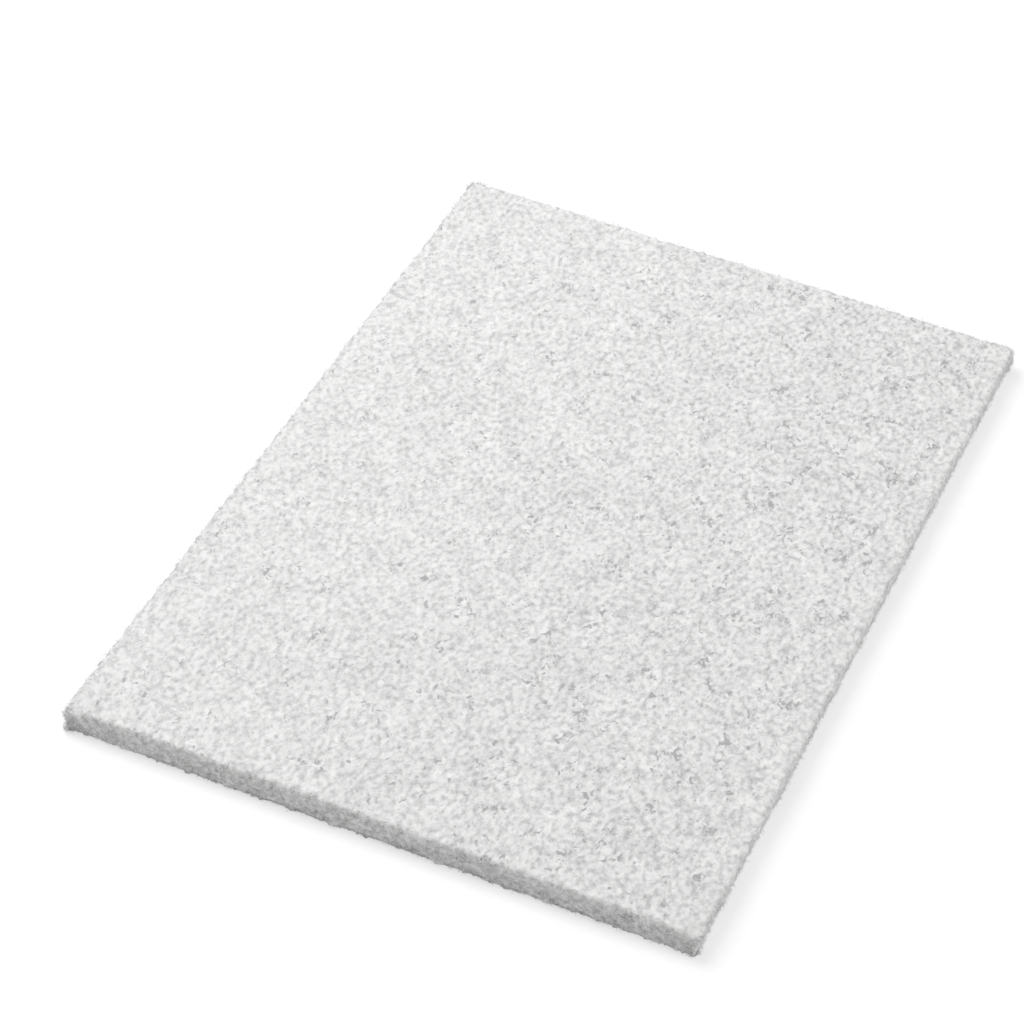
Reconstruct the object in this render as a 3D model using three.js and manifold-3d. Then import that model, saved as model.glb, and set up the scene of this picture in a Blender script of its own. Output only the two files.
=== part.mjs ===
// A rectangular floor scrubbing pad: one slab of springy bonded fibre, cut by a blade from a thick web.
// Millimetres, +Z up. The origin is the middle of the underside. +X runs across the short side and
// +Y along the long side, towards the far end.

import Module from 'manifold-3d';
import * as THREE from 'three';
import { mergeVertices } from 'three/addons/utils/BufferGeometryUtils.js';

const wasm = await Module();
wasm.setup();

// The slab.
const PAD_WIDTH = 304.8;
const PAD_LENGTH = 457.2;
const PAD_THICKNESS = 12.7;

// Corners seen from above: the far pair is worn rounder than the near pair.
const FAR_CORNER_RADIUS = 5;
const NEAR_CORNER_RADIUS = 2.2;

// The blade comes down through the top face, which rounds its rim, and leaves the lower edge sharp.
const RIM_RADIUS = 1.7;
const RIM_LIMIT_OF_THICKNESS = 0.4;
const RIM_LIMIT_OF_CORNER = 0.8;

// The long sides lean in towards the underside, by this much at the bottom.
const LONG_SIDE_UNDERCUT = 1.4;

// The springy fibre lets the cut wander in and out by a hair between the corners.
const CUT_WAVE_DEPTH = 0.3;
const CUT_WAVE_PITCH = 68;

// Two small nicks in the far edge, each a shallow bite of a circle, by their places along X.
const NICK_PLACES = [-44, -24];
const NICK_WIDTH = 5;
const NICK_DEPTH = 1.2;

// How far a cutting shape runs past what it cuts.
const CUT_CLEARANCE = 1;

// How finely curves are divided.
const EDGE_STEP = 6;
const NICK_STEPS = 24;
const CORNER_STEPS = 5;
const RIM_STEPS = 3;

const QUARTER_TURN = Math.PI / 2;

/** The corners, counter-clockwise from the near right one, as signs along X and Y. */
const CORNERS = [
  { x: 1, y: -1, radius: NEAR_CORNER_RADIUS },
  { x: 1, y: 1, radius: FAR_CORNER_RADIUS },
  { x: -1, y: 1, radius: FAR_CORNER_RADIUS },
  { x: -1, y: -1, radius: NEAR_CORNER_RADIUS },
];

/** The rim's radius, limited by the slab's thickness and by the tightest corner that it follows. */
function rimRadius() {
  const tightest = Math.min(...CORNERS.map((corner) => corner.radius));
  return Math.min(RIM_RADIUS, RIM_LIMIT_OF_THICKNESS * PAD_THICKNESS, RIM_LIMIT_OF_CORNER * tightest);
}

/** A corner's arc in plan: points from the side before it to the side after it. */
function cornerArc(corner, index) {
  const centre = new THREE.Vector2(
    corner.x * (PAD_WIDTH / 2 - corner.radius),
    corner.y * (PAD_LENGTH / 2 - corner.radius),
  );
  return Array.from({ length: CORNER_STEPS + 1 }, (_, step) => {
    const angle = (index - 1 + step / CORNER_STEPS) * QUARTER_TURN;
    return new THREE.Vector2(Math.cos(angle), Math.sin(angle)).multiplyScalar(corner.radius).add(centre);
  });
}

/** How far the cut lies inside its straight line: two crossed waves that die out at the corners. */
function waveInset(along, length) {
  const phase = (2 * Math.PI * along) / CUT_WAVE_PITCH;
  const wave = Math.sin(phase) * Math.cos(phase / Math.SQRT2);
  return CUT_WAVE_DEPTH * Math.sin((Math.PI * along) / length) * wave ** 2;
}

/** The points of one cut side between two corners' arcs, without the arcs' own end points. */
function cutSide(start, end) {
  const length = start.distanceTo(end);
  const direction = end.clone().sub(start).normalize();
  const inward = new THREE.Vector2(-direction.y, direction.x);
  const steps = Math.ceil(length / EDGE_STEP);
  return Array.from({ length: steps - 1 }, (_, step) => {
    const along = ((step + 1) * length) / steps;
    return start.clone().addScaledVector(direction, along).addScaledVector(inward, waveInset(along, length));
  });
}

/** The pad's plan outline, counter-clockwise: each corner's arc and the cut side that follows it. */
function planOutline() {
  const arcs = CORNERS.map(cornerArc);
  return new THREE.Shape(arcs.flatMap((arc, index) => {
    const following = arcs[(index + 1) % arcs.length];
    return [...arc, ...cutSide(arc.at(-1), following[0])];
  }));
}

/** The outline raised to the top face, with its rims rounded inside it and the lower rim below z = 0. */
function raisedOutline() {
  const rim = rimRadius();
  return new THREE.ExtrudeGeometry(planOutline(), {
    depth: PAD_THICKNESS - rim,
    bevelThickness: rim,
    bevelSize: rim,
    bevelOffset: -rim,
    bevelSegments: RIM_STEPS,
  });
}

/** Leans both long sides in: a point's x shrinks in step with its depth below the rounded rim. */
function leanLongSides(geometry) {
  const position = geometry.getAttribute('position');
  const wall = PAD_THICKNESS - rimRadius();
  for (let index = 0; index < position.count; index += 1) {
    const depth = Math.max(1 - position.getZ(index) / wall, 0);
    const shrink = (depth * LONG_SIDE_UNDERCUT) / (PAD_WIDTH / 2);
    position.setX(index, position.getX(index) * (1 - shrink));
  }
  return geometry;
}

/** All that lies below the underside, where the lower rim is cut off. */
function belowUnderside() {
  const height = rimRadius() + CUT_CLEARANCE;
  const box = new THREE.BoxGeometry(PAD_WIDTH + 2 * CUT_CLEARANCE, PAD_LENGTH + 2 * CUT_CLEARANCE, height);
  return box.translate(0, 0, -height / 2);
}

/** What a nick takes out of the far edge: an upright round bar whose near side just bites into the slab. */
function nickGeometry(place) {
  const radius = (NICK_WIDTH ** 2 / 4 + NICK_DEPTH ** 2) / (2 * NICK_DEPTH);
  const height = PAD_THICKNESS + 2 * CUT_CLEARANCE;
  const bar = new THREE.CylinderGeometry(radius, radius, height, NICK_STEPS);
  return bar.rotateX(QUARTER_TURN).translate(place, PAD_LENGTH / 2 + radius - NICK_DEPTH, PAD_THICKNESS / 2);
}

/** A closed three.js geometry as a solid that can be cut. */
function toSolid(geometry) {
  geometry.deleteAttribute('normal');
  geometry.deleteAttribute('uv');
  const merged = mergeVertices(geometry);
  return new wasm.Manifold(new wasm.Mesh({
    numProp: 3,
    vertProperties: Float32Array.from(merged.getAttribute('position').array),
    triVerts: Uint32Array.from(merged.getIndex().array),
  }));
}

/** A cut solid back as a three.js geometry. */
function toGeometry(solid) {
  const { vertProperties, triVerts } = solid.getMesh();
  const geometry = new THREE.BufferGeometry();
  geometry.setAttribute('position', new THREE.BufferAttribute(vertProperties, 3));
  geometry.setIndex(new THREE.BufferAttribute(triVerts, 1));
  geometry.computeVertexNormals();
  return geometry;
}

/** The finished slab: the leaning sides, less the lower rim and every nick. */
function padGeometry() {
  const cutters = [belowUnderside(), ...NICK_PLACES.map(nickGeometry)].map(toSolid);
  const slab = toSolid(leanLongSides(raisedOutline()));
  return toGeometry(cutters.reduce((pad, cutter) => pad.subtract(cutter), slab));
}

/** Undyed white polyester fibre, bonded with a matt resin. */
function whiteFibre() {
  return new THREE.MeshStandardMaterial({ color: 0xe6e6e4, roughness: 0.95, metalness: 0 });
}

function scrubbingPad() {
  const mesh = new THREE.Mesh(padGeometry(), whiteFibre());
  mesh.name = 'scrubbing_pad';
  return mesh;
}

const part = new THREE.Group();
part.add(scrubbingPad());

export default part;
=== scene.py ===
"""A white floor scrubbing pad: a springy slab of bonded fibre with its curled fibres standing out of it.

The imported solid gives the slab's box. The slab's skin is one closed surface laid over that box, and a
finer band round it gives the cut sides their ragged look. The fibres are thin tubes. All three are laid
out on a flat plan and wrapped over the rims and down the cut sides.
Lengths are metres unless a name says otherwise.
"""

import logging
import math
from dataclasses import dataclass, field
from enum import Enum

import bpy
import numpy as np
from mathutils import Matrix, Vector


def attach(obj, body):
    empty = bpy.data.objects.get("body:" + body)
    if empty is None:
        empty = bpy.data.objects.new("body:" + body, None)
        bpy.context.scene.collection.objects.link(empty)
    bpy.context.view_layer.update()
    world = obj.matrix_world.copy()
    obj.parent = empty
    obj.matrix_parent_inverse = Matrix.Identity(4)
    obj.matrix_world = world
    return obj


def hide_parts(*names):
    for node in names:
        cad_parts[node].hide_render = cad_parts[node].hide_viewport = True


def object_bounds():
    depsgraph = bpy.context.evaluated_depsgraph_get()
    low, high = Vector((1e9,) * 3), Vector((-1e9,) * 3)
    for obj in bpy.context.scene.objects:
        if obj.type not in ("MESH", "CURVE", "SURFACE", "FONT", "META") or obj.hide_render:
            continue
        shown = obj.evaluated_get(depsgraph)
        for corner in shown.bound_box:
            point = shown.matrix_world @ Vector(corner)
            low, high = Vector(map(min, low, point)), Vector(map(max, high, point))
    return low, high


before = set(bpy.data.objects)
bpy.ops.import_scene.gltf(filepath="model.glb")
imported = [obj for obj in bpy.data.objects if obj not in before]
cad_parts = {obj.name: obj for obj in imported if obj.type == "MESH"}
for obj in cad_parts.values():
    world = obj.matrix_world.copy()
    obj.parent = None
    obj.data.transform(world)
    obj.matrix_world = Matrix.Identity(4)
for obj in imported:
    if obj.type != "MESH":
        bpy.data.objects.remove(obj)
CAD_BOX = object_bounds()

MM = 0.001
BODY = "root"
NODE = "scrubbing_pad"

log = logging.getLogger("scrubbing_pad")


class Side(Enum):
    """Which face of the slab a layer of fibres lies on."""

    TOP = "top"
    CUT = "cut"
    UNDER = "under"


def smooth_step(low: float, high: float, value: np.ndarray) -> np.ndarray:
    """Rises from 0 at low to 1 at high along a cubic with level ends."""
    t = np.clip((value - low) / (high - low), 0.0, 1.0)
    return t * t * (3.0 - 2.0 * t)


@dataclass(frozen=True)
class Lumps:
    """Smooth random relief: random heights on a cubic lattice, blended by a cubic between its points."""

    cell: float
    seed: int
    lattice: int = 32

    def at(self, points: np.ndarray) -> np.ndarray:
        """The relief at some points.

        Each coordinate is measured in cells. Its whole part picks the eight lattice heights round the
        point, and its fraction, eased by a cubic, weighs them.

        Args:
            points: an array of points, its last axis x, y and z.

        Returns:
            Heights from about -1 to 1, one for each point.
        """
        heights = np.random.default_rng(self.seed).uniform(-1.0, 1.0, (self.lattice,) * 3)
        place = np.asarray(points, float) / self.cell
        low = np.floor(place)
        ease = smooth_step(0.0, 1.0, place - low)
        low = low.astype(int)
        total = np.zeros(place.shape[:-1])
        for corner in np.ndindex(2, 2, 2):
            step = np.array(corner)
            index = (low + step) % self.lattice
            weight = np.prod(np.where(step == 1, ease, 1.0 - ease), axis=-1)
            total += weight * heights[index[..., 0], index[..., 1], index[..., 2]]
        return total


@dataclass(frozen=True)
class Nick:
    """A small bite out of the far edge."""

    place: float
    width: float = 5.0 * MM
    depth: float = 1.2 * MM
    reach: float = 7.0 * MM

    def inset(self, points: np.ndarray, far_edge: float) -> np.ndarray:
        """How far points move in: a squared cosine across the nick, fading out behind the far edge."""
        across = np.clip(np.abs(points[..., 0] - self.place) / (self.width / 2), 0.0, 1.0)
        fade = smooth_step(far_edge - self.reach, far_edge, points[..., 1])
        return self.depth * np.cos(across * math.pi / 2) ** 2 * fade


@dataclass(frozen=True)
class SlabForm:
    """The slab's smooth skin, as a flat plan wrapped over a rounded rim, down the cut side and under.

    The plan is a face of the slab, carried on past its outline. A point that lies outside the outline is
    laid on the cut side, as far from the face as it is out, so that lengths along the skin keep their size.
    """

    # The smooth form.
    width: float
    length: float
    thickness: float
    lift: float = 0.0
    rim: float = 1.7 * MM
    lower_rim: float = 0.5 * MM
    undercut: float = 1.4 * MM
    far_corner: float = 5.0 * MM
    near_corner: float = 2.2 * MM
    nicks: tuple[Nick, ...] = (Nick(-44.0 * MM), Nick(-24.0 * MM))
    # The web's lumps, from the broadest to the finest, and how high each stands.
    loft: Lumps = Lumps(34.0 * MM, 3)
    tufts: Lumps = Lumps(11.0 * MM, 5)
    curls: Lumps = Lumps(5.0 * MM, 8)
    fray: Lumps = Lumps(4.6 * MM, 13)
    shag: Lumps = Lumps(1.6 * MM, 17)
    loft_height: float = 0.3 * MM
    tuft_height: float = 0.16 * MM
    curl_height: float = 0.16 * MM
    fray_height: float = 0.55 * MM
    shag_height: float = 0.5 * MM
    # The foot of the cut, from this share of the way down: drawn in, with tufts standing out of it.
    foot_start: float = 0.5
    foot_recess: float = 0.75 * MM
    foot_tufts: float = 2.9 * MM
    tuft_unevenness: float = 0.25
    # The near corners, frayed and pressed down.
    corner_fray: float = 1.1 * MM
    corner_fray_mean: float = 0.7
    corner_fray_swing: float = 0.5
    corner_fray_reach: float = 5.0 * MM
    corner_droop: float = 3.0 * MM
    corner_droop_reach: float = 9.0 * MM

    @property
    def wall(self) -> float:
        """Height of the straight part of the cut side."""
        return self.thickness - self.rim - self.lower_rim

    @property
    def girth(self) -> float:
        """Skin length from the start of the upper rim to the end of the lower one."""
        return (self.rim + self.lower_rim) * math.pi / 2 + self.wall

    @property
    def reach(self) -> float:
        """How far out of the outline a plan goes to meet the plan of the other face on the cut side."""
        return (self.girth - self.rim - self.lower_rim) / 2

    def outline(self, plan: np.ndarray) -> tuple[np.ndarray, np.ndarray]:
        """Distance out of the rounded rectangle and the direction that leads out of it.

        A point beyond both ends of the straight sides is measured from the corner's centre. Any other
        is measured from its nearest straight side.

        Args:
            plan: plan points, their last axis x and y.

        Returns:
            The signed distances, negative inside, and the unit directions out.
        """
        corner = np.where(plan[..., 1] > 0, self.far_corner, self.near_corner)
        half = np.array([self.width / 2, self.length / 2])
        past = np.abs(plan) - (half - corner[..., None])
        sign = np.where(plan < 0, -1.0, 1.0)
        in_corner = (past > 0).all(axis=-1)
        radius = np.linalg.norm(past, axis=-1)
        side = (past[..., 0] > past[..., 1])[..., None]
        straight = np.where(side, [1.0, 0.0], [0.0, 1.0])
        round_out = past / np.maximum(radius, 1e-9)[..., None]
        out = np.where(in_corner[..., None], round_out, straight) * sign
        distance = np.where(in_corner, radius, past.max(axis=-1)) - corner
        return distance, out

    def wrap(self, plan: np.ndarray, from_under: bool = False) -> tuple[np.ndarray, np.ndarray]:
        """Lays plan points on the skin.

        With w the skin length from the start of the upper rim, a point turns over that rim by the angle
        w / rim, goes straight down the cut side, turns under the lower rim and runs in underneath. The
        long sides lean in by the undercut on the way down.

        Args:
            plan: plan points, their last axis x and y.
            from_under: whether the plan is that of the underside.

        Returns:
            Points on the skin and the skin's outward normals.
        """
        distance, out = self.outline(plan)
        foot = plan - out * distance[..., None]
        w = self.girth - distance - self.lower_rim if from_under else distance + self.rim
        upper_arc = self.rim * math.pi / 2
        over = np.clip(w / self.rim, 0.0, math.pi / 2)
        under = np.clip((w - upper_arc - self.wall) / self.lower_rim, 0.0, math.pi / 2)
        drop = np.clip(w - upper_arc, 0.0, self.wall)
        flat_part = np.maximum(-w, 0.0) + np.maximum(w - self.girth, 0.0)
        rounded = self.rim * (1 - np.sin(over)) + self.lower_rim * (1 - np.cos(under))
        height = self.thickness - self.rim * (1 - np.cos(over)) - drop - self.lower_rim * np.sin(under)
        inset = out * (rounded + flat_part)[..., None]
        inset[..., 0] += self.undercut * out[..., 0] * drop / self.wall
        points = np.concatenate([foot - inset, (height + self.lift)[..., None]], axis=-1)
        level = np.sin(over) * np.cos(under)
        upright = np.cos(over) - np.sin(under)
        normals = np.concatenate([out * level[..., None], upright[..., None]], axis=-1)
        return points, normals

    def relief(self, points: np.ndarray, normals: np.ndarray) -> np.ndarray:
        """How far the real skin stands off the smooth one.

        Broad loft raises the flat faces, fray the cut side, and tufts and curls are everywhere.
        """
        flatness = np.abs(normals[..., 2])
        broad = self.loft_height * self.loft.at(points) * flatness
        fine = self.tuft_height * self.tufts.at(points) + self.curl_height * self.curls.at(points)
        ragged = self.fray_height * self.fray.at(points) * (1 - flatness)
        return broad + fine + ragged

    def raggedness(self, points: np.ndarray, normals: np.ndarray) -> np.ndarray:
        """Extra relief of the cut side: lumps all over, tufts along its foot, and the frayed near corners.

        The tufts grow from nothing where the foot starts to their full size at the lower edge.
        """
        level = 1 - np.abs(normals[..., 2])
        shag = self.shag.at(points)
        foot = smooth_step(self.foot_start, 1.0, 1 - points[..., 2] / self.thickness)
        tufts = self.foot_tufts * foot * np.maximum(shag + self.tuft_unevenness * self.fray.at(points), 0.0)
        nearness = self.at_near_corner(points, self.corner_fray_reach)
        frayed = self.corner_fray * nearness * (self.corner_fray_mean + self.corner_fray_swing * shag)
        return level * (self.shag_height * shag - self.foot_recess * foot + tufts + frayed)

    def at_near_corner(self, points: np.ndarray, reach: float) -> np.ndarray:
        """1 on a near corner's upright edge, falling off with the distance from it as a bell curve."""
        corner = np.array([self.width / 2, self.length / 2])
        away = np.linalg.norm(np.abs(points[..., :2]) - corner, axis=-1)
        return np.where(points[..., 1] < 0, np.exp(-(away / reach) ** 2), 0.0)

    def wear(self, points: np.ndarray) -> np.ndarray:
        """Moves points in from the far edge where a nick is, and presses the near corners down."""
        moved = points.copy()
        for nick in self.nicks:
            moved[..., 1] -= nick.inset(points, self.length / 2)
        droop = self.corner_droop * self.at_near_corner(points, self.corner_droop_reach)
        moved[..., 2] *= 1 - droop / self.thickness
        return moved

    def surface(self, plan: np.ndarray, rise: np.ndarray | float = 0.0, from_under: bool = False
                ) -> tuple[np.ndarray, np.ndarray]:
        """Points that stand by rise off the real skin, and the smooth skin's normals there."""
        points, normals = self.wrap(plan, from_under)
        height = self.relief(points, normals) + rise
        return self.wear(points + normals * height[..., None]), normals


class Value:
    """A number in a node tree. Arithmetic on it adds the Math nodes that work it out."""

    def __init__(self, tree: "NodeTree", socket: bpy.types.NodeSocket) -> None:
        self.tree = tree
        self.socket = socket

    def _math(self, operation: str, *values: "Value | float") -> "Value":
        node = self.tree.add("ShaderNodeMath", {"operation": operation}, dict(enumerate(values)))
        return Value(self.tree, node.outputs[0])

    def __add__(self, other: "Value | float") -> "Value":
        return self._math("ADD", self, other)

    def __sub__(self, other: "Value | float") -> "Value":
        return self._math("SUBTRACT", self, other)

    def __mul__(self, other: "Value | float") -> "Value":
        return self._math("MULTIPLY", self, other)

    def __rsub__(self, other: "Value | float") -> "Value":
        return self._math("SUBTRACT", other, self)

    def __abs__(self) -> "Value":
        return self._math("ABSOLUTE", self)

    __radd__ = __add__
    __rmul__ = __mul__

    def larger(self, other: "Value | float") -> "Value":
        """The larger of this and another."""
        return self._math("MAXIMUM", self, other)

    def eased(self, low: float, high: float, start: float = 0.0, end: float = 1.0) -> "Value":
        """Goes from start where this is low to end where it is high, with level ends."""
        settings = {"interpolation_type": "SMOOTHSTEP"}
        node = self.tree.add("ShaderNodeMapRange", settings, {0: self, 1: low, 2: high, 3: start, 4: end})
        return Value(self.tree, node.outputs[0])


class NodeTree:
    """A material's or the world's nodes, built from an empty tree."""

    def __init__(self, owner: bpy.types.ID, output: str = "ShaderNodeOutputMaterial") -> None:
        owner.use_nodes = True
        self.nodes = owner.node_tree.nodes
        self.links = owner.node_tree.links
        self.nodes.clear()
        self.output = self.nodes.new(output)

    def add(self, kind: str, settings: dict | None = None, inputs: dict | None = None) -> bpy.types.Node:
        """Adds one node.

        Args:
            kind: the node's type.
            settings: its own settings, which are set before its sockets.
            inputs: numbers, colours, sockets or values, by the socket's name or place.

        Returns:
            The new node.
        """
        node = self.nodes.new(kind)
        for name, value in (settings or {}).items():
            setattr(node, name, value)
        for name, value in (inputs or {}).items():
            self.feed(node.inputs[name], value)
        return node

    def feed(self, socket: bpy.types.NodeSocket, value: object) -> None:
        """Links a socket to a value or a socket, or sets the number or colour that it holds."""
        source = value.socket if isinstance(value, Value) else value
        if isinstance(source, bpy.types.NodeSocket):
            self.links.new(source, socket)
        else:
            socket.default_value = source

    def blend(self, factor: Value, low: tuple, high: tuple) -> bpy.types.NodeSocket:
        """A colour between two others."""
        settings = {"data_type": "RGBA"}
        return self.add("ShaderNodeMix", settings, {0: factor, 6: low, 7: high}).outputs[2]

    def seen(self) -> Value:
        """1 for what the camera or a gloss sees, 0 for the light that bounces about."""
        path = self.add("ShaderNodeLightPath")
        return Value(self, path.outputs["Is Camera Ray"]).larger(Value(self, path.outputs["Is Glossy Ray"]))

    def show(self, shader: bpy.types.Node) -> None:
        """Makes a shader the one that shows."""
        self.links.new(shader.outputs[0], self.output.inputs["Surface"])


class PatternTree(NodeTree):
    """A material's nodes, with patterns that are fixed to the object.

    The web is laid lengthwise by the machine that makes it, so each pattern is drawn out along Y. The
    noise is turned after that, so that the lattice it grows on doesn't show as rows.
    """

    GRAIN = 1.4
    TURN = (0.52, 0.37, 0.61)

    def __init__(self, owner: bpy.types.ID) -> None:
        super().__init__(owner)
        self.object_place = self.add("ShaderNodeTexCoord").outputs["Object"]

    def along(self, axis: str) -> Value:
        """The place along one of the object's axes."""
        return Value(self, self.add("ShaderNodeSeparateXYZ", {}, {0: self.object_place}).outputs[axis])

    def noise(self, size: float, shift: float, detail: float = 1.0, distortion: float = 0.0) -> Value:
        """Cloudy noise whose lumps are about a given size across.

        Args:
            size: the lumps' size.
            shift: how far the pattern is moved, so that two layers of it differ.
            detail: how many finer layers it has.
            distortion: how much it is stirred.

        Returns:
            The noise, about 0.5 on average.
        """
        moved = self.add("ShaderNodeMapping", {}, {
            "Vector": self.object_place, "Location": (shift,) * 3, "Rotation": self.TURN,
            "Scale": (1.0, 1 / self.GRAIN, 1.0),
        })
        inputs = {
            "Vector": moved.outputs[0], "Scale": 1.0 / size, "Detail": detail, "Distortion": distortion,
        }
        return Value(self, self.add("ShaderNodeTexNoise", {}, inputs).outputs[0])

    def strands(self, size: float, shift: float, width: float) -> Value:
        """Thin curled lines: 1 where noise crosses its own middle value, falling to 0 beside it."""
        crossing = abs(self.noise(size, shift, detail=0.6, distortion=0.5) - 0.5)
        return crossing.eased(0.0, width, 1.0, 0.0)


def grey(value: float, warmth: float = 0.0) -> tuple[float, float, float, float]:
    """A linear grey, a little warmer than neutral where warmth is above 0."""
    return (value * (1 + warmth), value, value * (1 - warmth), 1.0)


@dataclass(frozen=True)
class WebFinish:
    """The bonded web under the loose fibres: crossing strands, pores between them darkened with painted
    shade, soft clouds.

    The sizes are those of the patterns' lumps, and the shares say how much each counts for fullness.
    """

    name: str = "bonded_web"
    # Greys of the deepest pore, which is painted shade, and of the fullest fibre, a little warm, and the
    # sheen.
    painted_pore_shade: float = 0.42
    strand: float = 0.90
    warmth: float = 0.004
    roughness: float = 0.9
    gloss: float = 0.25
    # The patterns.
    felt_size: float = 2.5 * MM
    patch_size: float = 7.0 * MM
    fleck_size: float = 2.5 * MM
    cluster_size: float = 9.0 * MM
    cloud_size: float = 18.0 * MM
    strand_size: float = 3.0 * MM
    strand_width: float = 0.10
    felt_range: tuple[float, float] = (0.05, 0.72)
    patch_range: tuple[float, float] = (0.2, 0.8)
    cloud_range: tuple[float, float] = (0.3, 0.7)
    web_share: float = 0.12
    felt_share: float = 0.68
    patch_share: float = 0.12
    cloud_share: float = 0.08
    # The flecks, which are pores painted as shade and dipped in the bump, and how they and the pores'
    # painted shade change from the left side to the right one.
    cluster_pull: float = 0.7
    fleck_range: tuple[float, float] = (0.52, 0.67)
    fleck_shade_depth: float = 0.95
    half_width: float = 150.0 * MM
    right_flecks: float = 0.055
    right_shade_depth: float = 0.15
    rim_strip: tuple[float, float] = (139.0 * MM, 147.0 * MM)
    rim_flecks: float = 0.25
    # The fine relief.
    relief: float = 0.35 * MM
    relief_strength: float = 0.28
    web_height: float = 0.25
    felt_height: float = 0.75
    fleck_drop: float = 0.6

    def make(self) -> bpy.types.Material:
        """Builds the material.

        Fullness is how much fibre there is at a point, and where it is low the colour goes towards the
        painted shade of the pores. It is taken from felt, strands and clouds, less the flecks, which are
        pores painted as shade and dipped in the bump. A fleck is where a fine noise and a coarser one are
        both low, so that flecks gather in clusters. They are more, and their painted shade deeper, towards
        the right long side, but few beside its rim.
        """
        material = bpy.data.materials.new(self.name)
        tree = PatternTree(material)
        web = tree.strands(self.strand_size, 0.11, self.strand_width)
        felt = tree.noise(self.felt_size, 0.53, detail=1.0).eased(*self.felt_range)
        patches = tree.noise(self.patch_size, 0.37, detail=1.0).eased(*self.patch_range)
        clouds = tree.noise(self.cloud_size, 0.71, detail=2.0).eased(*self.cloud_range)
        rightward = tree.along("X").eased(-self.half_width, self.half_width)
        beside_rim = tree.along("X").eased(*self.rim_strip, 1.0, self.rim_flecks)
        spots = tree.noise(self.fleck_size, 0.91, detail=1.6, distortion=0.8)
        clusters = tree.noise(self.cluster_size, 0.23, detail=1.0)
        low_places = spots + self.cluster_pull * clusters - self.right_flecks * rightward
        # Pore flecks: painted shade in the colour and a dip in the bump.
        pore_dip_and_shade = low_places.eased(*self.fleck_range, 1.0, 0.0) * beside_rim
        fibre = (
            self.web_share * web + self.felt_share * felt
            + self.patch_share * patches + self.cloud_share * clouds
        )
        # Painted shade: the flecks darken the web, and more deeply towards the right long side.
        even = fibre * (1 - self.fleck_shade_depth * pore_dip_and_shade)
        fullness = 1 - (1 - even) * (1 + self.right_shade_depth * rightward * beside_rim)
        # Low fullness goes towards the pore grey, the painted shade of the open web.
        colour = tree.blend(fullness, grey(self.painted_pore_shade), grey(self.strand, self.warmth))
        height = self.web_height * web + self.felt_height * felt - self.fleck_drop * pore_dip_and_shade
        bump = tree.add("ShaderNodeBump", {}, {
            "Strength": self.relief_strength, "Distance": self.relief, "Height": height,
        })
        shader = tree.add("ShaderNodeBsdfPrincipled", {}, {
            "Base Color": colour, "Roughness": self.roughness, "Normal": bump.outputs[0],
            "Specular IOR Level": self.gloss,
        })
        tree.show(shader)
        return material


@dataclass(frozen=True)
class FibreFinish:
    """One loose fibre: milky white plastic, each a little lighter or darker, with painted shade where it
    dives in.
    """

    name: str = "loose_fibre"
    # The dull grey also carries the painted shade where a fibre dives in.
    dull: float = 0.66
    bright: float = 0.88
    warmth: float = 0.004
    roughness: float = 0.72
    gloss: float = 0.35
    patch_size: float = 1.1 * MM
    patch_share: float = 0.2

    def make(self) -> bpy.types.Material:
        """Builds the material. It reads each fibre's own tone, darkened by painted shade where the fibre
        dives in, which is kept on its mesh.
        """
        material = bpy.data.materials.new(self.name)
        tree = PatternTree(material)
        tone_and_shade = Value(tree, tree.add("ShaderNodeAttribute", {"attribute_name": "tone_and_shade"}).outputs["Fac"])
        patches = tree.noise(self.patch_size, 0.37, detail=1.0)
        lightness = (1 - self.patch_share) * tone_and_shade + self.patch_share * patches
        colour = tree.blend(lightness, grey(self.dull), grey(self.bright, self.warmth))
        shader = tree.add("ShaderNodeBsdfPrincipled", {}, {
            "Base Color": colour, "Roughness": self.roughness, "Specular IOR Level": self.gloss,
        })
        tree.show(shader)
        return material


def new_object(name: str, points: np.ndarray, faces: list | np.ndarray, material: bpy.types.Material
               ) -> bpy.types.Object:
    """Makes a smooth-shaded mesh object at the origin, with its place in its mesh.

    Args:
        name: the piece's name.
        points: its vertices, one row each.
        faces: its faces, as rows or lists of vertex numbers.
        material: its only material.

    Returns:
        The object, linked into the scene.
    """
    mesh = bpy.data.meshes.new(name)
    mesh.from_pydata(points.reshape(-1, 3), [], faces)
    mesh.polygons.foreach_set("use_smooth", np.ones(len(mesh.polygons), bool))
    mesh.materials.append(material)
    mesh.update()
    piece = bpy.data.objects.new(name, mesh)
    bpy.context.scene.collection.objects.link(piece)
    return piece


def grid_quads(number: np.ndarray) -> np.ndarray:
    """The quads of a grid of vertex numbers, facing up where it runs along x and then y."""
    corners = [number[:-1, :-1], number[1:, :-1], number[1:, 1:], number[:-1, 1:]]
    return np.stack(corners, axis=-1).reshape(-1, 4)


def triangles(piece: bpy.types.Object) -> int:
    """How many triangles a piece has."""
    return sum(len(polygon.vertices) - 2 for polygon in piece.data.polygons)


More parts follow.
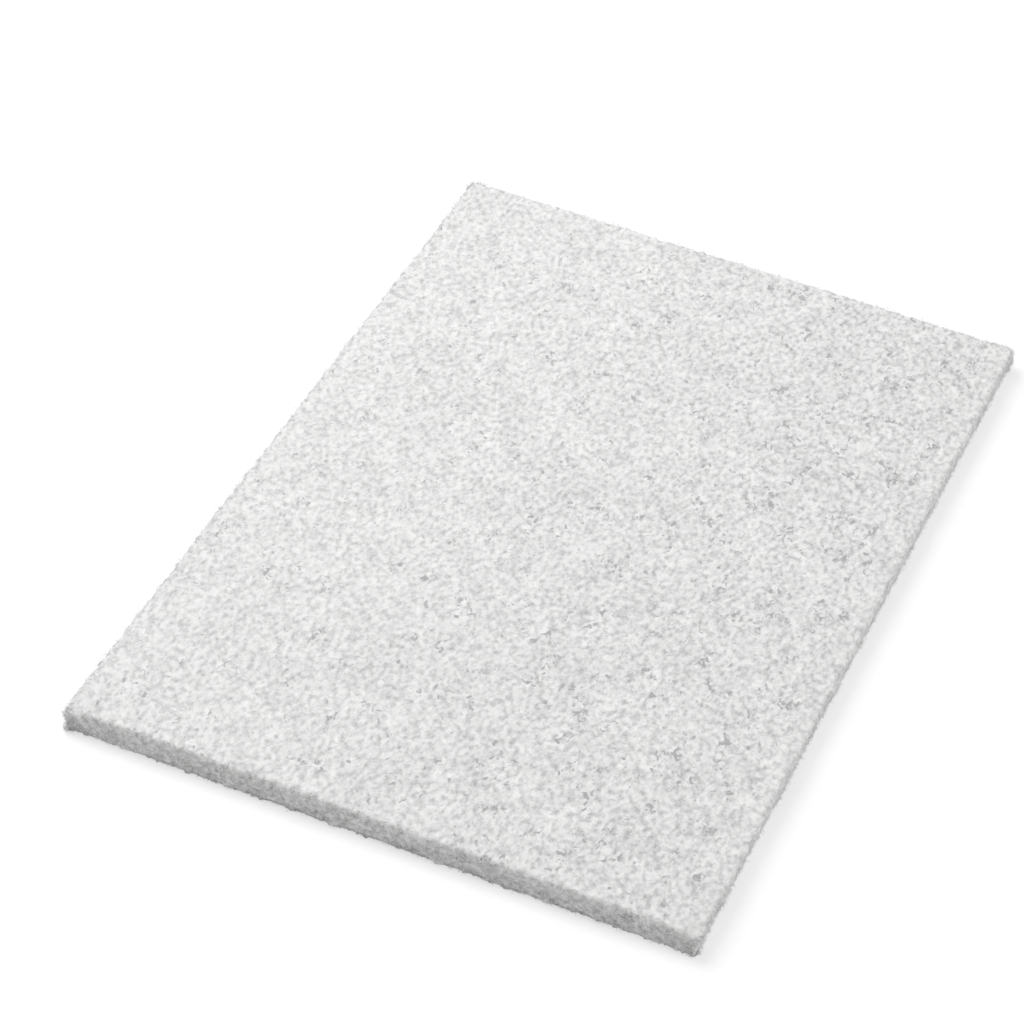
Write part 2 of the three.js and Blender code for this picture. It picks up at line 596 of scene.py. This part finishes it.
@dataclass
class PadBody:
    """The slab itself: one closed skin, laid from both faces and welded half way down the cut sides."""

    form: SlabForm
    name: str = "pad_body"
    across: int = 150
    along: int = 222
    crowding: float = 0.35
    floor_gap: float = 0.12 * MM

    def stations(self, count: int, half: float) -> np.ndarray:
        """Places from -half to half, a straight line blended with a sine so that they crowd at the ends."""
        even = np.linspace(-1.0, 1.0, count + 1)
        return half * ((1 - self.crowding) * even + self.crowding * np.sin(even * math.pi / 2))

    def plan_grid(self) -> np.ndarray:
        """The plan's grid out to the middle of the cut side, with its square corners pressed round.

        In a corner a point keeps its direction from the corner's core, and its distance becomes the
        longer of its two offsets, which turns each square ring into a quarter circle.
        """
        reach = self.form.reach
        x = self.stations(self.across, self.form.width / 2 + reach)
        y = self.stations(self.along, self.form.length / 2 + reach)
        grid = np.stack(np.meshgrid(x, y, indexing="ij"), axis=-1)
        corner = np.where(grid[..., 1] > 0, self.form.far_corner, self.form.near_corner)[..., None]
        half = np.array([self.form.width / 2, self.form.length / 2])
        core = np.clip(grid, corner - half, half - corner)
        offset = grid - core
        longest = np.abs(offset).max(axis=-1)
        radius = np.linalg.norm(offset, axis=-1)
        return core + offset * (longest / np.maximum(radius, 1e-9))[..., None]

    def skin(self) -> tuple[np.ndarray, np.ndarray]:
        """The closed skin: one plan laid from the top face and from the underside, welded where they meet.

        Returns:
            The vertices and the quads.
        """
        plan = self.plan_grid()
        upper, _ = self.form.surface(plan)
        lower, _ = self.form.surface(plan, from_under=True)
        points = np.concatenate([upper.reshape(-1, 3), lower.reshape(-1, 3)])
        points[:, 2] = np.maximum(points[:, 2], self.floor_gap)
        rows, columns = plan.shape[:2]
        # The underside takes the outermost vertices of the top, and its own inside them.
        number = np.arange(rows * columns).reshape(rows, columns)
        below = number.copy()
        below[1:-1, 1:-1] += rows * columns
        faces = np.concatenate([grid_quads(number), grid_quads(below)[:, ::-1]])
        used = np.unique(faces)
        renumber = np.zeros(len(points), int)
        renumber[used] = np.arange(len(used))
        return points[used], renumber[faces]

    def build(self, material: bpy.types.Material) -> bpy.types.Object:
        """Makes the slab's mesh and tells the frame that it stands for the plain solid."""
        points, faces = self.skin()
        piece = new_object(self.name, points, faces.tolist(), material)
        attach(piece, BODY)
        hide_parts(NODE)
        return piece


@dataclass
class CutBand:
    """The ragged cut side: a closed band that wraps the slab's side from rim to rim, finer than the slab.

    Its section is a C. The outer line follows the skin with the cut's raggedness, and the inner line
    runs back inside the slab.
    """

    form: SlabForm
    name: str = "cut_band"
    step: float = 0.85 * MM
    corner_steps: int = 7
    rows: int = 19
    lap: float = 1.2 * MM
    depth: float = 1.3 * MM
    edge_dip: float = 0.45 * MM
    floor_gap: float = 0.1 * MM

    def stations(self) -> tuple[np.ndarray, np.ndarray]:
        """Points of the outline and the directions out of it, counter-clockwise round the slab.

        Each corner gives an arc of evenly turned directions from its core, and each straight side joins
        two arcs in even steps.

        Returns:
            The outline's points and directions.
        """
        form = self.form
        signs = np.array([[1, -1], [1, 1], [-1, 1], [-1, -1]])
        radii = np.where(signs[:, 1] > 0, form.far_corner, form.near_corner)
        cores = signs * (np.array([form.width / 2, form.length / 2]) - radii[:, None])
        feet, ways = [], []
        for corner in range(4):
            angle = (corner - 1 + np.linspace(0.0, 1.0, self.corner_steps + 1)) * math.pi / 2
            way = np.stack([np.cos(angle), np.sin(angle)], axis=-1)
            arc = cores[corner] + way * radii[corner]
            following = (corner + 1) % 4
            target = cores[following] + way[-1] * radii[following]
            count = int(np.linalg.norm(target - arc[-1]) / self.step)
            share = (np.arange(1, count) / count)[:, None]
            feet += [arc, arc[-1] + share * (target - arc[-1])]
            ways += [way, np.repeat(way[-1:], count - 1, axis=0)]
        return np.concatenate(feet), np.concatenate(ways)

    def section(self) -> tuple[np.ndarray, np.ndarray]:
        """The C: skin lengths from the start of the upper rim, and depths under the skin, as one loop."""
        outer = np.linspace(-self.lap, self.form.girth + self.lap, self.rows)
        sunk = np.zeros(self.rows)
        sunk[[0, -1]] = self.edge_dip
        inner = outer[[-2, self.rows * 3 // 4, self.rows // 2, self.rows // 4, 1]]
        return np.concatenate([outer, inner]), np.concatenate([sunk, np.full(len(inner), self.depth)])

    def build(self, material: bpy.types.Material) -> bpy.types.Object:
        """Makes the band's mesh."""
        foot, way = self.stations()
        along, depth = self.section()
        plan = foot[:, None, :] + way[:, None, :] * (along - self.form.rim)[None, :, None]
        skin, normals = self.form.wrap(plan)
        rise = self.form.raggedness(skin, normals) * (depth < self.edge_dip) - depth
        points, _ = self.form.surface(plan, rise)
        points[..., 2] = np.maximum(points[..., 2], self.floor_gap)
        number = np.arange(points.size // 3).reshape(points.shape[:2])
        ring = np.pad(number, ((0, 1), (0, 1)), mode="wrap")
        piece = new_object(self.name, points, grid_quads(ring)[:, ::-1].tolist(), material)
        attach(piece, BODY)
        return piece


@dataclass
class FibreLayer:
    """Some thousands of curled fibres on one face of the slab.

    A fibre's plan line turns by a steady bend and a crimp that swings to and fro. It leaves the slab,
    arches over it and dives back, and on the cut sides some fibres end free.
    """

    name: str
    form: SlabForm
    side: Side
    count: int
    seed: int
    # One fibre's size, and how far it stands out of the slab, dips into it or ends free.
    length: tuple[float, float] = (4.0 * MM, 9.0 * MM)
    radius: tuple[float, float] = (0.15 * MM, 0.26 * MM)
    rise: tuple[float, float] = (-0.12 * MM, 0.10 * MM)
    dip: float = 0.4 * MM
    free_share: float = 0.0
    free_rise: float = 1.6 * MM
    free_range: tuple[float, float] = (0.2, 1.0)
    # Where the fibres are: those of the cut gather at the corners.
    corner_share: float = 0.06
    corner_spread: float = 4.0 * MM
    margin: float = 1.5 * MM
    lap_in: float = 1.0 * MM
    # The curl: turn in radians a metre, then the swing of the crimp and its waves in one fibre.
    bend: float = 270.0
    crimp: float = 0.9
    waves: tuple[float, float] = (0.8, 1.9)
    arch_power: float = 0.7
    flick_power: float = 1.6
    # The fibres' tones: each has its own, darkened by painted shade where the fibre sinks inside the slab.
    own_tone: tuple[float, float] = (0.4, 1.0)
    shaded_sunk_tone: float = 0.5
    unshaded_rise: float = 0.1 * MM
    # The tubes.
    tip: float = 0.5
    sides: int = 3
    steps: int = 7
    rng: np.random.Generator = field(init=False)

    def __post_init__(self) -> None:
        """Starts the layer's own random numbers from its seed."""
        self.rng = np.random.default_rng(self.seed)

    def starts(self) -> np.ndarray:
        """Where the fibres' middles are in the plan: all over a face, or along the band of the cut."""
        half = np.array([self.form.width / 2, self.form.length / 2])
        if self.side is not Side.CUT:
            return self.rng.uniform(-1.0, 1.0, (self.count, 2)) * (half - self.margin)
        width, length = 2 * half
        lap = self.rng.uniform(0.0, 2 * (width + length), self.count)
        corners = np.array([0.0, length, length + width, 2 * length + width])
        frayed = self.rng.choice(corners, self.count) + self.rng.normal(0.0, self.corner_spread, self.count)
        at_corner = self.rng.random(self.count) < self.corner_share
        lap = np.where(at_corner, frayed, lap) % (2 * (width + length))
        out = self.rng.uniform(-self.lap_in, self.form.thickness, self.count)
        return self.band_points(lap, out, half)

    @staticmethod
    def band_points(lap: np.ndarray, out: np.ndarray, half: np.ndarray) -> np.ndarray:
        """Plan points at a distance out of the outline, by their way round it."""
        width, length = 2 * half
        ends = np.array([length, length + width, 2 * length + width])
        side = np.searchsorted(ends, lap)
        begun = np.concatenate([[0.0], ends])[side]
        along = lap - begun
        x = np.choose(side, [half[0] + out, half[0] - along, -half[0] - out, along - half[0]])
        y = np.choose(side, [along - half[1], half[1] + out, half[1] - along, -half[1] - out])
        return np.stack([x, y], axis=-1)

    def plan_lines(self) -> tuple[np.ndarray, np.ndarray]:
        """The fibres' lines in the plan: the heading is summed along each line from its middle.

        Returns:
            Plan points for each fibre and step, and the way along each fibre from 0 to 1.
        """
        way = np.linspace(0.0, 1.0, self.steps + 1)
        length = self.rng.uniform(*self.length, self.count)[:, None]
        heading = self.rng.uniform(0.0, 2 * math.pi, self.count)[:, None]
        bend = self.rng.normal(0.0, self.bend, self.count)[:, None]
        wave = self.rng.uniform(*self.waves, self.count)[:, None]
        phase = self.rng.uniform(0.0, 2 * math.pi, self.count)[:, None]
        turn = heading + bend * length * (way - 0.5) + self.crimp * np.sin(2 * math.pi * wave * way + phase)
        middle = (turn[:, 1:] + turn[:, :-1]) / 2
        step = np.stack([np.cos(middle), np.sin(middle)], axis=-1) * (length / self.steps)[..., None]
        line = np.concatenate([np.zeros((self.count, 1, 2)), np.cumsum(step, axis=1)], axis=1)
        line -= line.mean(axis=1, keepdims=True)
        return self.starts()[:, None, :] + line, way

    def rises(self, way: np.ndarray) -> np.ndarray:
        """Height along each fibre: an arch that starts and ends inside the slab, or a free end."""
        rise = self.rng.uniform(*self.rise, self.count)[:, None]
        arch = np.sin(math.pi * way) ** self.arch_power
        height = -self.dip + (self.dip + rise) * arch
        free = self.rng.random(self.count)[:, None] < self.free_share
        loose = self.rng.uniform(*self.free_range, self.count)[:, None] * self.free_rise
        return np.where(free, -self.dip + (self.dip + loose) * way ** self.flick_power, height)

    def tubes(self, line: np.ndarray, normals: np.ndarray) -> tuple[np.ndarray, list]:
        """Thin tubes of a few sides round the lines.

        Each ring's points stand round the line in the plane of the skin's normal and the sideways
        direction, and the tube narrows at both ends, where a flat face closes it.

        Args:
            line: points along each fibre.
            normals: the skin's normals at those points.

        Returns:
            The vertices and the faces.
        """
        along = np.gradient(line, axis=1)
        along /= np.linalg.norm(along, axis=-1, keepdims=True)
        across = np.cross(normals, along)
        across /= np.maximum(np.linalg.norm(across, axis=-1, keepdims=True), 1e-9)
        upward = np.cross(along, across)
        taper = np.ones(self.steps + 1)
        taper[[0, -1]] = self.tip
        radius = self.rng.uniform(*self.radius, self.count)[:, None] * taper
        angles = (np.arange(self.sides) * 2 * math.pi / self.sides + math.pi / 2)[:, None]
        ring = np.cos(angles) * across[:, :, None, :] + np.sin(angles) * upward[:, :, None, :]
        points = line[:, :, None, :] + ring * radius[:, :, None, None]
        number = np.arange(points.size // 3).reshape(points.shape[:3])
        after = np.roll(number, -1, axis=2)
        walls = np.stack([number[:, :-1], after[:, :-1], after[:, 1:], number[:, 1:]], axis=-1)
        faces = walls.reshape(-1, 4).tolist() + number[:, 0, ::-1].tolist() + number[:, -1].tolist()
        return points, faces

    def build(self, material: bpy.types.Material) -> bpy.types.Object:
        """Makes the layer's mesh, with each fibre's tone and its painted shade on its vertices."""
        plan, way = self.plan_lines()
        rise = self.rises(way)
        line, normals = self.form.surface(plan, rise, from_under=self.side is Side.UNDER)
        line[..., 2] = np.maximum(line[..., 2], self.radius[1])
        points, faces = self.tubes(line, normals)
        piece = new_object(self.name, points, faces, material)
        own = self.rng.uniform(*self.own_tone, self.count)[:, None]
        # Painted shade: the tone darkens where the fibre dives into the slab.
        shown = self.shaded_sunk_tone + (1 - self.shaded_sunk_tone) * smooth_step(-self.dip, self.unshaded_rise, rise)
        tone_and_shade = np.repeat((own * shown)[:, :, None], self.sides, axis=2)
        attribute = piece.data.attributes.new("tone_and_shade", "FLOAT", "POINT")
        attribute.data.foreach_set("value", tone_and_shade.astype(np.float32).ravel())
        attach(piece, BODY)
        return piece


@dataclass(frozen=True)
class PhotoCamera:
    """The photograph's viewpoint, worked out from the pad's corners in it."""

    aim: tuple[float, float, float] = (-0.0297, -0.0052, 0.0064)
    distance: float = 1.7462
    azimuth: float = math.radians(-70.48)
    elevation: float = math.radians(40.69)
    roll: float = math.radians(5.5)
    lens: float = 127.23

    def build(self) -> None:
        """Makes the camera look at the aim from the viewpoint, turned about its own axis by the roll."""
        data = bpy.data.cameras.new("photo_camera")
        data.lens = self.lens
        data.clip_start = 0.05
        level = math.cos(self.elevation)
        back = Vector((
            level * math.cos(self.azimuth), level * math.sin(self.azimuth), math.sin(self.elevation),
        ))
        turned = back.to_track_quat("Z", "Y").to_matrix() @ Matrix.Rotation(self.roll, 3, "Z")
        camera = bpy.data.objects.new("photo_camera", data)
        camera.matrix_world = Matrix.Translation(Vector(self.aim) + back * self.distance) @ turned.to_4x4()
        bpy.context.scene.collection.objects.link(camera)
        bpy.context.scene.camera = camera


@dataclass(frozen=True)
class SoftBox:
    """A square studio lamp that faces a point on the pad."""

    name: str
    place: tuple[float, float, float]
    size: float
    power: float

    def build(self) -> None:
        """Makes the lamp."""
        data = bpy.data.lights.new(self.name, "AREA")
        data.size = self.size
        data.energy = self.power
        lamp = bpy.data.objects.new(self.name, data)
        lamp.location = self.place
        lamp.rotation_euler = Vector(self.place).to_track_quat("Z", "Y").to_euler()
        bpy.context.scene.collection.objects.link(lamp)


@dataclass(frozen=True)
class Studio:
    """A white paper floor in a pale room, one lamp above the far left and a smaller one at the right."""

    floor_half: float = 6.0
    floor_grey: float = 0.84
    floor_seen: float = 0.5
    floor_glow: float = 0.52
    far_glow: float = 1.0
    glow_reach: tuple[float, float] = (0.6, 2.0)
    room_light: float = 0.53
    lamps: tuple[SoftBox, ...] = (
        SoftBox("top_softbox", (-1.0, 0.35, 1.5), 1.2, 21.0),
        SoftBox("right_softbox", (1.9, 0.0, 0.8), 1.0, 10.0),
    )

    def floor_material(self) -> bpy.types.Material:
        """Pale paper that is lifted to white for the camera and keeps a light shadow of the pad.

        The lift grows away from the pad, where the lamps' light falls off.
        """
        material = bpy.data.materials.new("white_paper")
        tree = NodeTree(material)
        seen = tree.seen()
        colour = tree.blend(seen, grey(self.floor_grey), grey(self.floor_seen))
        paper = tree.add("ShaderNodeBsdfDiffuse", {}, {"Color": colour})
        place = tree.add("ShaderNodeTexCoord").outputs["Object"]
        length = tree.add("ShaderNodeVectorMath", {"operation": "LENGTH"}, {0: place}).outputs["Value"]
        lift = Value(tree, length).eased(*self.glow_reach, self.floor_glow, self.far_glow)
        glow = tree.add("ShaderNodeEmission", {}, {"Strength": lift * seen})
        both = tree.add("ShaderNodeAddShader", {}, {0: paper.outputs[0], 1: glow.outputs[0]})
        tree.show(both)
        return material

    def build_room(self) -> None:
        """A room that lights the pad softly and shows as plain white."""
        world = bpy.data.worlds.new("white_room")
        bpy.context.scene.world = world
        tree = NodeTree(world, "ShaderNodeOutputWorld")
        strength = tree.seen().eased(0.0, 1.0, self.room_light, 1.0)
        tree.show(tree.add("ShaderNodeBackground", {}, {"Color": grey(1.0), "Strength": strength}))

    def build(self) -> None:
        """Makes the floor, the lamps and the room."""
        half = self.floor_half
        corners = np.array([[-half, -half, 0.0], [half, -half, 0.0], [half, half, 0.0], [-half, half, 0.0]])
        floor = new_object("paper_floor", corners, [[0, 1, 2, 3]], self.floor_material())
        for lamp in self.lamps:
            lamp.build()
        self.build_room()
        bpy.context.scene.view_settings.view_transform = "Standard"


@dataclass
class ScrubbingPad:
    """The whole pad: slab, ragged band and layers of loose fibres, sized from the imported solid's box."""

    nap: float = 0.12 * MM
    top_layers: int = 2
    top_count: int = 3600
    edge_layers: int = 2
    edge_count: int = 3400

    def form(self) -> SlabForm:
        """The slab's form: the solid's box, less the nap that the loose fibres take up."""
        low, high = (np.array(corner) for corner in CAD_BOX)
        width, length, thickness = high - low - 2 * self.nap
        return SlabForm(width, length, thickness, lift=self.nap)

    def layers(self, form: SlabForm) -> list[FibreLayer]:
        """All layers of loose fibres, from the top face to the underside."""
        top = [
            FibreLayer(f"top_fibres_{number}", form, Side.TOP, self.top_count, seed=20 + number)
            for number in range(1, self.top_layers + 1)
        ]
        cut = [
            FibreLayer(
                f"edge_fibres_{number}", form, Side.CUT, self.edge_count, seed=40 + number,
                length=(2.5 * MM, 7.0 * MM), radius=(0.09 * MM, 0.17 * MM), rise=(0.0, 0.6 * MM),
                free_share=0.4, steps=6,
            )
            for number in range(1, self.edge_layers + 1)
        ]
        fuzz = FibreLayer(
            "edge_fuzz", form, Side.CUT, 3900, seed=49, length=(1.8 * MM, 5.0 * MM),
            radius=(0.07 * MM, 0.12 * MM), rise=(0.2 * MM, 0.9 * MM), free_share=0.85, free_rise=2.6 * MM,
            corner_share=0.36, corner_spread=3.0 * MM, steps=6,
        )
        under = FibreLayer("underside_fibres", form, Side.UNDER, 1000, seed=57, steps=6)
        return [*top, *cut, fuzz, under]

    def build(self) -> list[bpy.types.Object]:
        """Builds every piece of the pad."""
        form = self.form()
        web, fibre = WebFinish().make(), FibreFinish().make()
        skins = [PadBody(form).build(web), CutBand(form).build(web)]
        return skins + [layer.build(fibre) for layer in self.layers(form)]


def main() -> None:
    """Builds the studio, the camera and the pad, and reports each piece."""
    logging.basicConfig(level=logging.INFO, format="%(name)s: %(message)s")
    PhotoCamera().build()
    Studio().build()
    for piece in ScrubbingPad().build():
        log.info("%s: %d triangles", piece.name, triangles(piece))


if __name__ == "__main__":
    main()
